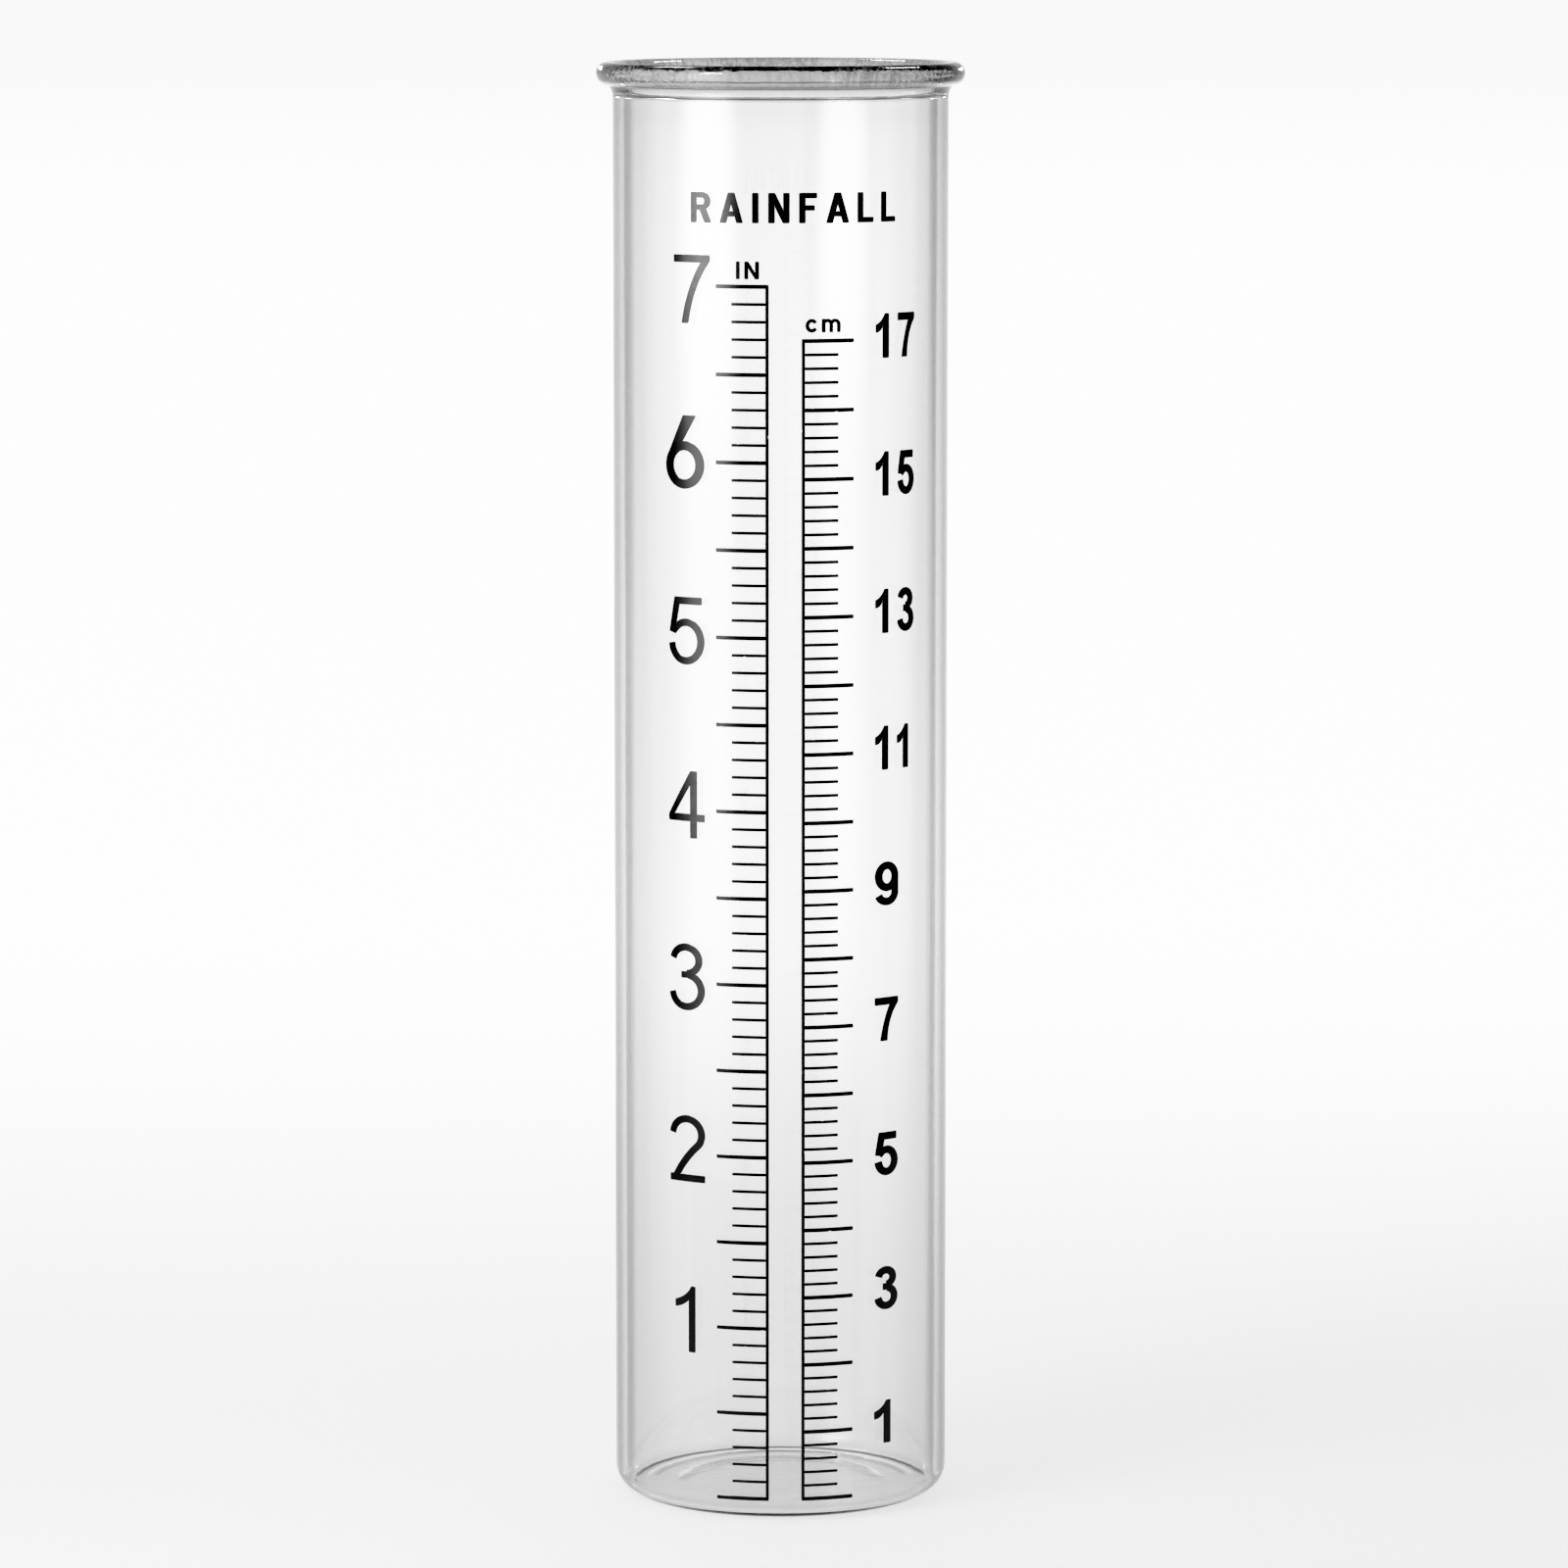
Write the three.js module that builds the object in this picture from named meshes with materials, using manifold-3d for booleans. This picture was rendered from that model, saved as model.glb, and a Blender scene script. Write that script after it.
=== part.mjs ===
// A manual rain gauge: a straight-sided glass collector tube that is open at the top and closed by a flat
// base, with a rolled rim, and two scales, their figures and a title printed on its front in black enamel.
// The tube's walls are upright, so that the depth of water in it is the depth of rain, and both scales are
// full size. Millimetres, +Z up, the origin at the middle of the base, and the print faces -Y.

import * as THREE from "three";
import { mergeVertices } from "three/addons/utils/BufferGeometryUtils.js";
import Module from "manifold-3d";

const wasm = await Module();
wasm.setup();

// ---- Driving dimensions, in millimetres ----

const HEIGHT = 212.8; // foot to the top of the rim
const BODY_RADIUS = 24.65;
const WALL = 1.6;
const BASE = 1.2; // thickness of the flat base
const FOOT_ROUND = 3.8; // outside radius between base and wall
const FLOOR_ROUND = 2.0; // inside radius between base and wall
const RIM_RADIUS = 27.1;
const BEAD_RADIUS = 1.65; // of the round section that the rim is rolled to
const FACETS = 72; // flats round the tube, shared with the print so that both bend alike

const INK_GAP = 0.03; // keeps the enamel's solids just clear of the glass
const INK_THICK = 0.12;

const INCH = 25.4;
const CENTIMETRE = 10;
const ZERO_HEIGHT = 3.4; // height of both zero lines above the foot
const SPINE_ARC = 2.61; // from the middle of the print to the middle of each scale's upright line
const SPINE_WIDTH = 0.32;
const LONG_TICK_ARC = 10.2; // from the middle of the print to a long tick's tip
const SHORT_TICK_ARC = 7.8;
const LONG_TICK_WIDTH = 0.42;
const SHORT_TICK_WIDTH = 0.26;

// A style of figures: cap height, and the pen's width on upright strokes and on level ones.
const INCH_FIGURES = { height: 9.7, upright: 1.03, level: 0.93 };
const TALL_FIGURE = { ...INCH_FIGURES, height: 10.5 }; // the inch scale's 6 stands taller than the rest
const CM_FIGURES = { height: 6.3, upright: 1.22, level: 0.98 };
const CM_PAIRS = { height: 6.3, upright: 1.02, level: 0.98 }; // narrower, for figures of two digits
const TITLE_LETTERS = { height: 4.2, upright: 0.8, level: 0.62 };
const UNIT_CAPITALS = { height: 2.4, upright: 0.42, level: 0.36 };
const UNIT_SMALLS = { height: 1.8, upright: 0.4, level: 0.34 };

const INK_RADIUS = BODY_RADIUS + INK_GAP;
const QUARTER_STEPS = 6; // straight steps to a quarter turn of a curved stroke

// ---- Materials ----

const glass = new THREE.MeshStandardMaterial({
  color: 0xe6ebeb,
  roughness: 0.02,
  metalness: 0,
  transparent: true,
  opacity: 0.35,
});
const enamel = new THREE.MeshStandardMaterial({ color: 0x0b0b0c, roughness: 0.16, metalness: 0 });

// ---- The glass ----

// Points on an arc about (x, y), from one angle to another in degrees.
function arc(x, y, radius, from, to, steps) {
  const points = [];
  for (let i = 0; i <= steps; i++) {
    const angle = THREE.MathUtils.degToRad(from + ((to - from) * i) / steps);
    points.push(new THREE.Vector2(x + radius * Math.cos(angle), y + radius * Math.sin(angle)));
  }
  return points;
}

// The tube's section: up the outside from the middle of the foot, over the rim, and down the inside to the
// floor. The neck leans out on a wide curve and then turns on a tight one into the underside of the bead, and
// the mouth flares from the bore into the bead's inner side.
function glassSection() {
  const inner = BODY_RADIUS - WALL;
  const bead = new THREE.Vector2(RIM_RADIUS - BEAD_RADIUS, HEIGHT - BEAD_RADIUS);
  const neckLean = 34; // degrees that the neck turns outwards from upright
  const neckRadius = 3.2;
  const throatRadius = 0.5;
  const throatDrop = 0.03; // from the bead's underside to the end of the throat's curve
  const beadStart = -80; // where the throat meets the bead's section, in degrees round it from level
  const mouthLean = 40; // degrees that the mouth's flare turns from upright

  const lean = THREE.MathUtils.degToRad(neckLean);
  const turn = THREE.MathUtils.degToRad(-beadStart);
  const throatTop = bead.y - BEAD_RADIUS * Math.sin(turn) - throatDrop;
  const neckTop = throatTop - throatRadius * (Math.sin(turn) - Math.sin(lean));
  const neckFoot = neckTop - neckRadius * Math.sin(lean);
  const neckOut = BODY_RADIUS + neckRadius * (1 - Math.cos(lean));

  const flare = THREE.MathUtils.degToRad(mouthLean);
  const flareTop = new THREE.Vector2(
    bead.x - BEAD_RADIUS * Math.cos(flare),
    bead.y + BEAD_RADIUS * Math.sin(flare),
  );
  const flareRadius = (flareTop.x - inner) / (1 - Math.cos(flare));
  const flareFoot = flareTop.y - flareRadius * Math.sin(flare);

  return [
    new THREE.Vector2(0, 0),
    ...arc(BODY_RADIUS - FOOT_ROUND, FOOT_ROUND, FOOT_ROUND, -90, 0, 6),
    ...arc(BODY_RADIUS + neckRadius, neckFoot, neckRadius, 180, 180 - neckLean, 3),
    ...arc(
      neckOut + throatRadius * Math.cos(lean),
      neckTop - throatRadius * Math.sin(lean),
      throatRadius,
      180 - neckLean,
      180 + beadStart,
      2,
    ).slice(1),
    ...arc(bead.x, bead.y, BEAD_RADIUS, beadStart, 180 - mouthLean, 12),
    ...arc(inner + flareRadius, flareFoot, flareRadius, 180 - mouthLean, 180, 4).slice(1),
    ...arc(inner - FLOOR_ROUND, BASE + FLOOR_ROUND, FLOOR_ROUND, 0, -90, 5),
    new THREE.Vector2(0, BASE),
  ];
}

// A section turned about Z. A lathe turns about Y and starts on +Z, so it is laid over, and its start then
// faces -Y.
function turned(section) {
  return new THREE.LatheGeometry(section, FACETS).rotateX(Math.PI / 2);
}

// ---- Solids for cutting and joining ----

function toSolid(geometry) {
  const bare = geometry.clone();
  bare.deleteAttribute("normal");
  bare.deleteAttribute("uv");
  const merged = mergeVertices(bare, 1e-4);
  return new wasm.Manifold(
    new wasm.Mesh({
      numProp: 3,
      vertProperties: merged.attributes.position.array,
      triVerts: new Uint32Array(merged.index.array),
    }),
  );
}

function toGeometry(solid) {
  const { vertProperties, triVerts } = solid.getMesh();
  const geometry = new THREE.BufferGeometry();
  geometry.setAttribute("position", new THREE.BufferAttribute(vertProperties, 3));
  geometry.setIndex(new THREE.BufferAttribute(triVerts, 1));
  geometry.computeVertexNormals();
  return geometry;
}

const at = (x, y) => new THREE.Vector2(x, y);

const rectangle = (x0, y0, x1, y1) => [at(x0, y0), at(x1, y0), at(x1, y1), at(x0, y1)];

// The layer that the print is cut from: a thin ring round the tube, from one height to another.
function inkRing(low, high) {
  const section = rectangle(INK_RADIUS, low, INK_RADIUS + INK_THICK, high);
  return toSolid(turned([...section, section[0]]));
}

// A flat outline, drawn as seen from the front with x along the print and y up, as a bar that runs out
// through the ring where the print's arc length is `along`.
function inkBar(outline, along) {
  const depth = 8;
  const bar = new THREE.ExtrudeGeometry(new THREE.Shape(outline), { depth, bevelEnabled: false });
  bar.rotateX(Math.PI / 2).translate(0, depth / 2 - INK_RADIUS, 0).rotateZ(along / INK_RADIUS);
  return toSolid(bar);
}

// Outlines that make up one mark, cut from the ring between y = 0 and y = height and centred at `along`.
function printed(outlines, along, height) {
  const bars = outlines.map((outline) => inkBar(outline, along));
  return toGeometry(wasm.Manifold.union(bars).intersect(inkRing(0, height)));
}

// ---- Strokes ----

// The outline of a pen stroke along a line of points, square at its ends and mitred at its corners. The pen
// is an ellipse: `upright` wide on a stroke that runs up, and `level` wide on one that runs across.
function stroke(points, { upright, level }) {
  const sides = points.map((point, i) => {
    const before = points[Math.max(i - 1, 0)];
    const after = points[Math.min(i + 1, points.length - 1)];
    const into = (i ? point.clone().sub(before) : after.clone().sub(point)).normalize();
    const out = (i < points.length - 1 ? after.clone().sub(point) : into.clone()).normalize();
    const across = into.clone().add(out).normalize().rotateAround(at(0, 0), Math.PI / 2);
    const mitre = 1 / Math.max(0.3, across.dot(into.rotateAround(at(0, 0), Math.PI / 2)));
    return at((across.x * upright * mitre) / 2, (across.y * level * mitre) / 2);
  });
  const left = points.map((point, i) => point.clone().add(sides[i]));
  const right = points.map((point, i) => point.clone().sub(sides[i]));
  return [...right, ...left.reverse()];
}

// Points on part of an ellipse, from one angle to another in degrees.
function bow(x, y, rx, ry, from, to) {
  const steps = Math.max(2, Math.round((Math.abs(to - from) / 90) * QUARTER_STEPS));
  return arc(0, 0, 1, from, to, steps).map((p) => at(x + rx * p.x, y + ry * p.y));
}

// Points on a quadratic curve.
function curve(from, control, to, steps = 5) {
  return new THREE.QuadraticBezierCurve(from, control, to).getPoints(steps);
}

// ---- Figures and letters ----
// Each takes its style and the width that it fills, and returns outlines that start at x = 0 on a baseline at
// y = 0.

// The outlines, moved to the left by half their width.
function centred(outlines, width) {
  return outlines.map((outline) => outline.map((p) => at(p.x - width / 2, p.y)));
}

// The stroke round a whole ring, in two overlapping halves.
function ring(x, y, rx, ry, pen) {
  return [stroke(bow(x, y, rx, ry, -8, 188), pen), stroke(bow(x, y, rx, ry, 172, 368), pen)];
}

function one({ height, upright, level }, width) {
  const stem = width - upright;
  const flag = 0.84 * height - 0.6 * level; // height of the flag's tip
  const crotch = 0.9 * height - level; // where the flag's underside meets the stem
  const hollow = at(stem - 0.2 * upright, 0.93 * height - 0.8 * level);
  return [
    [
      at(stem, 0),
      at(width, 0),
      at(width, height),
      ...curve(at(width - 0.62 * upright, height), hollow, at(0, flag)),
      ...curve(at(0, flag - 1.05 * level), at(0.6 * stem, crotch - level), at(stem, crotch), 4),
    ],
  ];
}

function two(style, width) {
  const { height, upright, level } = style;
  const rx = (width - upright) / 2;
  const ry = 0.29 * height - level / 2;
  const bowl = bow(width / 2, height - level / 2 - ry, rx, ry, 174, -34);
  const turn = bowl[bowl.length - 1];
  const foot = at(0.04 * width + upright / 2, 0);
  return [
    stroke([...bowl, ...curve(turn, at(0.37 * width, 0.31 * height), foot, 5).slice(1)], style),
    rectangle(0.02 * width, 0, width, level),
  ];
}

function three(style, width) {
  const { height, upright, level } = style;
  const upper = 0.249 * height; // half heights of the two bowls, which share the waist
  const lower = 0.291 * height;
  const inset = 0.045 * width; // how much narrower the upper bowl is on each side
  const rx = (width - upright) / 2;
  const waist = 0.54 * height;
  return [
    stroke(bow(width / 2 - inset / 2, height - upper, rx - inset, upper - level / 2, 170, -82), style),
    stroke(bow(width / 2, lower, rx, lower - level / 2, 80, -173), style),
    rectangle(0.36 * width, waist - level / 2, 0.62 * width, waist + 0.38 * level),
  ];
}

function four({ height, upright, level }, width) {
  const bar = 0.255 * height;
  const stem = 0.622 * width;
  const lean = 0.93 * upright; // how much of the bar the sloping stroke covers
  return [
    rectangle(0, bar, width, bar + level),
    rectangle(stem, 0, stem + upright, height),
    [
      at(0, bar),
      at(lean, bar),
      at(0.143 * width, bar + level),
      at(stem + 0.1 * upright, height - 1.7 * level),
      at(stem + upright, height),
      at(stem, height),
      at(0, bar + level),
    ],
  ];
}

function five(style, width) {
  const { height, upright, level } = style;
  const bowl = 0.338 * height;
  const rx = (width - upright) / 2;
  const crook = 0.49 * height; // where the stem ends and the bowl starts
  const round = bow(width / 2, bowl, rx, bowl - level / 2, 122, -174);
  return [
    rectangle(0.17 * width, height - level, 0.93 * width, height),
    [
      at(0.17 * width, height),
      at(0.02 * width, crook),
      at(0.02 * width + 0.86 * upright, crook - 0.025 * height),
      at(0.17 * width + 0.9 * upright, height - level / 2),
    ],
    stroke([at(0.04 * width + upright / 2, crook), ...round], style),
  ];
}

// A six with a straight back that leans into a round bowl.
function six(style, width) {
  const { height, upright, level } = style;
  const bowl = 0.322 * height;
  const pen = { upright: 1.27 * upright, level: 1.27 * level };
  return [
    ...ring(width / 2, bowl, (width - pen.upright) / 2, bowl - pen.level / 2, pen),
    [
      at(0.47 * width, height),
      at(0.03 * width, 0.42 * height),
      at(0.18 * width, 0.36 * height),
      at(0.41 * width, 0.61 * height),
      at(0.79 * width, height),
    ],
  ];
}

function seven({ height, upright, level }, width) {
  const foot = 0.235 * width;
  const leftBend = at(foot + 0.14 * width, 0.5 * height);
  const rightBend = at(foot + 0.3 * width, 0.52 * height);
  return [
    [
      at(0, height),
      at(0, height - level),
      ...curve(at(width - 1.25 * upright, height - level), leftBend, at(foot, 0), 6),
      ...curve(at(foot + upright, 0), rightBend, at(width, height - 0.8 * level), 6),
      at(width, height),
    ],
  ];
}

function nine(style, width) {
  const { height, upright, level } = style;
  const rx = (width - upright) / 2;
  const bowl = 0.335 * height;
  const heel = 0.3 * height; // half height of the back's turn into the tail
  const tail = 0.25 * height;
  return [
    ...ring(width / 2, height - bowl, rx, bowl - level / 2, style),
    stroke(
      [
        at(width - upright / 2, height - bowl),
        ...bow(width / 2, heel, rx, heel - level / 2, 8, -90),
        ...bow(width / 2, tail, rx, tail - level / 2, -105, -168),
      ],
      style,
    ),
  ];
}

const FIGURES = { 1: one, 2: two, 3: three, 4: four, 5: five, 6: six, 7: seven, 9: nine };

const letterI = ({ height, upright }) => [rectangle(0, 0, upright, height)];

function letterN({ height, upright }, width) {
  return [
    rectangle(0, 0, upright, height),
    rectangle(width - upright, 0, width, height),
    [at(0, height), at(width - 1.08 * upright, 0), at(width, 0), at(1.08 * upright, height)],
  ];
}

// An A: a leg, the same leg mirrored, and the bar between them.
function letterA({ height, upright, level }, width) {
  const middle = width / 2;
  const half = 0.56 * upright; // of the flat top
  const bar = 0.22 * height;
  const leg = [
    at(0, 0),
    at(1.06 * upright, 0),
    at(middle + 0.28 * upright, 0.86 * height),
    at(middle + half, height),
    at(middle - half, height),
  ];
  const otherLeg = leg.map((p) => at(width - p.x, p.y)).reverse();
  return [leg, otherLeg, rectangle(0.22 * width, bar, 0.78 * width, bar + level)];
}

function letterR(style, width) {
  const { height, upright, level } = style;
  const waist = 0.43 * height + level / 2; // the middle of the bowl's lower stroke
  const top = height - level / 2;
  const ry = (top - waist) / 2;
  const rx = 0.9 * ry;
  const turn = 0.96 * width - upright / 2 - rx;
  const bowl = bow(turn, top - ry, rx, ry, 90, -90);
  const hip = 0.42 * width; // where the leg leaves the bowl
  const legWidth = 1.15 * upright;
  return [
    rectangle(0, 0, upright, height),
    stroke([at(upright / 2, top), ...bowl, at(upright / 2, waist)], style),
    [at(hip, waist), at(width - legWidth, 0), at(width, 0), at(hip + legWidth, waist)],
  ];
}

function letterF({ height, upright, level }, width) {
  return [
    rectangle(0, 0, upright, height),
    rectangle(0, height - level, width, height),
    rectangle(0, 0.43 * height, 0.86 * width, 0.43 * height + level),
  ];
}

const letterL = ({ height, upright, level }, width) => [
  rectangle(0, 0, upright, height),
  rectangle(0, 0, width, level),
];

function smallC(style, width) {
  const { height, upright, level } = style;
  return [stroke(bow(width / 2, height / 2, (width - upright) / 2, (height - level) / 2, 38, 322), style)];
}

function smallM(style, width) {
  const { height, upright, level } = style;
  const pitch = (width - upright) / 2;
  const ry = 0.3 * height;
  const arch = (from, to) => {
    const round = bow((from + to) / 2, height - level / 2 - ry, pitch / 2, ry, 180, 0);
    return stroke([...round, at(to, -level)], style);
  };
  const stems = [0, 1, 2].map((i) => upright / 2 + i * pitch);
  return [rectangle(0, 0, upright, height), arch(stems[0], stems[1]), arch(stems[1], stems[2])];
}

const LETTERS = { R: letterR, A: letterA, I: letterI, N: letterN, F: letterF, L: letterL };
const LETTER_WIDTHS = { R: 3.15, A: 3.35, I: 0.84, N: 2.95, F: 2.5, L: 2.5 };

// ---- Scales ----

// One scale as a comb: an upright line with ticks to one side, -1 for the left and 1 for the right.
function comb(side, length, pitch, ticks, longEvery) {
  const middle = (side * (SPINE_ARC + LONG_TICK_ARC)) / 2; // arc length that the comb's bars run out at
  const across = (along) => INK_RADIUS * Math.sin((side * along - middle) / INK_RADIUS);
  const bar = (from, to, low, high) => {
    const ends = [across(from), across(to)];
    return rectangle(Math.min(...ends), low, Math.max(...ends), high);
  };
  const overhang = LONG_TICK_WIDTH / 2; // of the upright line past the middle of its end ticks
  const bars = [bar(SPINE_ARC - SPINE_WIDTH / 2, SPINE_ARC + SPINE_WIDTH / 2, -overhang, length + overhang)];
  for (let i = 0; i <= ticks; i++) {
    const long = i % longEvery === 0;
    const half = (long ? LONG_TICK_WIDTH : SHORT_TICK_WIDTH) / 2;
    bars.push(bar(SPINE_ARC, long ? LONG_TICK_ARC : SHORT_TICK_ARC, i * pitch - half, i * pitch + half));
  }
  const solids = bars.map((outline) => inkBar(outline, middle));
  return toGeometry(wasm.Manifold.union(solids).intersect(inkRing(-1, length + 1)));
}

// ---- Assembly ----

const gauge = new THREE.Group();
gauge.name = "rain_gauge";

function addGroup(height) {
  const group = new THREE.Group();
  group.position.z = height;
  gauge.add(group);
  return group;
}

function addMesh(group, name, geometry, material, height = 0) {
  const mesh = new THREE.Mesh(geometry, material);
  mesh.name = name;
  mesh.position.z = height;
  group.add(mesh);
}

// A mark `width` wide, from the arc length `left` to its right, on a baseline at `height`.
function addMark(group, name, draw, style, left, width, height) {
  const outlines = centred(draw(style, width), width);
  addMesh(group, name, printed(outlines, left + width / 2, style.height), enamel, height);
}

addMesh(gauge, "glass_tube", turned(glassSection()), glass);

const INCHES = 7;
const inchScale = addGroup(ZERO_HEIGHT);
addMesh(inchScale, "inch_scale_lines", comb(-1, INCHES * INCH, INCH / 10, INCHES * 10, 5), enamel);

// The inch figures: most share one place and size, with their middles a little above their ticks.
const INCH_FIGURE = { left: -18.3, width: 6.1, raised: 0.7, style: INCH_FIGURES };
const ODD_INCH_FIGURES = {
  1: { left: -17.3, width: 3.45 },
  6: { left: -18.8, width: 6.6, raised: 0.9, style: TALL_FIGURE },
  7: { left: -17.25, width: 5.95, raised: -0.5 },
};
for (let inch = 1; inch <= INCHES; inch++) {
  const { left, width, raised, style } = { ...INCH_FIGURE, ...ODD_INCH_FIGURES[inch] };
  const baseline = inch * INCH + raised - INCH_FIGURES.height / 2;
  addMark(inchScale, `inch_figure_${inch}`, FIGURES[inch], style, left, width, baseline);
}

const INCH_UNIT_HEIGHT = 178.95;
addMark(inchScale, "inch_unit_I", letterI, UNIT_CAPITALS, -7.1, UNIT_CAPITALS.upright, INCH_UNIT_HEIGHT);
addMark(inchScale, "inch_unit_N", letterN, UNIT_CAPITALS, -5.85, 2.0, INCH_UNIT_HEIGHT);

const CENTIMETRES = 17;
const cmScale = addGroup(ZERO_HEIGHT);
const cmComb = comb(1, CENTIMETRES * CENTIMETRE, CENTIMETRE / 5, CENTIMETRES * 5, 5);
addMesh(cmScale, "cm_scale_lines", cmComb, enamel);

// The centimetre figures: odd numbers only, and those of two digits are set narrower.
const CM_LEFT = 14.0;
const CM_UNITS_LEFT = CM_LEFT + 4.1;
const CM_RAISED = 0.5;
const CM_WIDTH = 4.3;
const CM_ONE_WIDTH = 2.95;
const CM_PAIR_WIDTH = 3.45;
const CM_PAIR_ONE_WIDTH = 2.25;
for (let cm = 1; cm <= CENTIMETRES; cm += 2) {
  const name = `cm_figure_${cm}`;
  const baseline = cm * CENTIMETRE + CM_RAISED - CM_FIGURES.height / 2;
  if (cm < 10) {
    addMark(cmScale, name, FIGURES[cm], CM_FIGURES, CM_LEFT, cm === 1 ? CM_ONE_WIDTH : CM_WIDTH, baseline);
  } else {
    const units = cm - 10;
    const width = units === 1 ? CM_PAIR_ONE_WIDTH : CM_PAIR_WIDTH;
    addMark(cmScale, `${name}_tens`, one, CM_PAIRS, CM_LEFT, CM_PAIR_ONE_WIDTH, baseline);
    addMark(cmScale, `${name}_units`, FIGURES[units], CM_PAIRS, CM_UNITS_LEFT, width, baseline);
  }
}

const CM_UNIT_HEIGHT = 171.3;
addMark(cmScale, "cm_unit_c", smallC, UNIT_SMALLS, 3.0, 1.72, CM_UNIT_HEIGHT);
addMark(cmScale, "cm_unit_m", smallM, UNIT_SMALLS, 5.4, 2.7, CM_UNIT_HEIGHT);

// The title, letter by letter, with equal gaps, and a little to the right of the two scales' middle.
const TITLE = [..."RAINFALL"];
const TITLE_WIDTH = 31.6;
const TITLE_MIDDLE = 1.6;
const TITLE_BASELINE = 190.4;
const title = addGroup(TITLE_BASELINE);
const widths = TITLE.map((letter) => LETTER_WIDTHS[letter]);
const gap = (TITLE_WIDTH - widths.reduce((sum, width) => sum + width, 0)) / (TITLE.length - 1);
let letterLeft = TITLE_MIDDLE - TITLE_WIDTH / 2;
TITLE.forEach((letter, i) => {
  const name = `title_letter_${i + 1}_${letter}`;
  addMark(title, name, LETTERS[letter], TITLE_LETTERS, letterLeft, widths[i], 0);
  letterLeft += widths[i] + gap;
});

export default gauge;
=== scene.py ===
import math

import bmesh
import bpy
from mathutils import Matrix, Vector, noise
from mathutils.geometry import delaunay_2d_cdt


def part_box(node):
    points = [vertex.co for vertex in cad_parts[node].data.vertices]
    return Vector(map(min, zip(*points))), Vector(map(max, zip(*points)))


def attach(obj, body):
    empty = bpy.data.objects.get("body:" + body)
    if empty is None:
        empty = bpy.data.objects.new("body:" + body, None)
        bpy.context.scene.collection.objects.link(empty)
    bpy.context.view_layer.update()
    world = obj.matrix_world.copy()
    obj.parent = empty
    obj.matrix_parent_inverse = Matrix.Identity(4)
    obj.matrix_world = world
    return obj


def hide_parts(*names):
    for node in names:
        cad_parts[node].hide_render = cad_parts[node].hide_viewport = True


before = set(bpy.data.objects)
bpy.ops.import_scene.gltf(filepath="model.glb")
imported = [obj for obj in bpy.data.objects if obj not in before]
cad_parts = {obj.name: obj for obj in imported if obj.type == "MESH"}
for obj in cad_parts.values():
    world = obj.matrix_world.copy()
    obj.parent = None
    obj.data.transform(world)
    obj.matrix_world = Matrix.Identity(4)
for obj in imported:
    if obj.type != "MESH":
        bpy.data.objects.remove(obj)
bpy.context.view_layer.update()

# A manual rain gauge: a clear glass tube with a rolled rim and a flat base, printed black on its front.
# Metres, +Z up, and the print faces -Y.

MM = 0.001

# ---- The glass, as in the CAD model ----

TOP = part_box("glass_tube")[1]
HEIGHT = TOP.z
RIM_RADIUS = TOP.x
BODY_RADIUS = 24.65 * MM
WALL = 1.6 * MM
BASE = 1.2 * MM
FOOT_ROUND = 3.8 * MM
FLOOR_ROUND = 2.0 * MM
BEAD_RADIUS = 1.65 * MM
SWELLS = [  # low arcs on the inside of the base: middle radius, half width and rise
    (15.0 * MM, 2.0 * MM, 0.11 * MM),
    (19.2 * MM, 1.3 * MM, 0.06 * MM),
]
NECK_LEAN = 34  # degrees that the wall leans out where it reaches the rim
NECK_RADIUS = 3.2 * MM
THROAT_RADIUS = 0.5 * MM  # of the groove under the bead
THROAT_DROP = 0.03 * MM  # how far the top of the groove is under the bead's start
BEAD_START = -80  # degrees round the bead where it leaves the groove
MOUTH_LEAN = 40  # degrees before the top of the bead's inside where the mouth's flare meets it

SEGMENTS = 288  # round the tube
WALL_RINGS = 48  # up the straight wall
FLOOR_RINGS = 60  # across the inside of the base
FOOT_SHARES = (0, 0.2, 0.4, 0.6, 0.75)  # of the radius, for the rings of the flat foot
FOOT_STEPS = 16  # and the steps of the section's arcs
NECK_STEPS = 8
THROAT_STEPS = 5
BEAD_STEPS = 36
MOUTH_STEPS = 10
CORNER_STEPS = 14
AT_AXIS = 1e-7  # a point of the section that is closer than this is on the axis
ON_FLOOR = 0.001 * MM  # and a vertex this close to the top of the base is part of it

GLASS_IOR = 1.47
GLASS_COLOUR = (0.32, 0.33, 0.325, 1)
GLASS_DENSITY = 27
GLASS_TURNED_PAINTED_SHADE = 0.78  # painted shade: share of the glass's tint left where it is turned well away
GLASS_EDGE_PAINTED_SHADE = 0.2  # and the share of that at its outermost edge, a painted shade too
FOOT_PAINTED_SHADE = 0.955  # painted shade: the share of the tint left at the foot
FOOT_PAINTED_SHADE_TOP = 90 * MM  # the height where that ends
BEAD_PAINTED_SHADE = 0.6  # painted shade: the share of the tint left at the bead
SCUFFED_LEAST = 0.12  # share of the bead's surface that is matt
SCUFFED_MOST = 0.5
SCUFFS_BETWEEN = 0.25  # and the share of that between the patches
HANDLED_ROUGH = 0.03
GLASS_RELIEF = 0.02 * MM
SPECKLE_RELIEF = 0.35  # relief of the worked rim, as shares of the drawn wall's
RIPPLE_RELIEF = 7

DRAWN = (260, 2, (1, 1, 0.04))  # patterns: features to the metre, detail and squeeze along each axis
HANDLED = (90, 5)
SPECKLE = (2600, 3)
RIPPLE = (230, 3)
SCUFFS = (1500, 4)
SCUFF_PATCHES = (75, 2, (1, 1, 3))

# ---- The enamel ----

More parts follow.
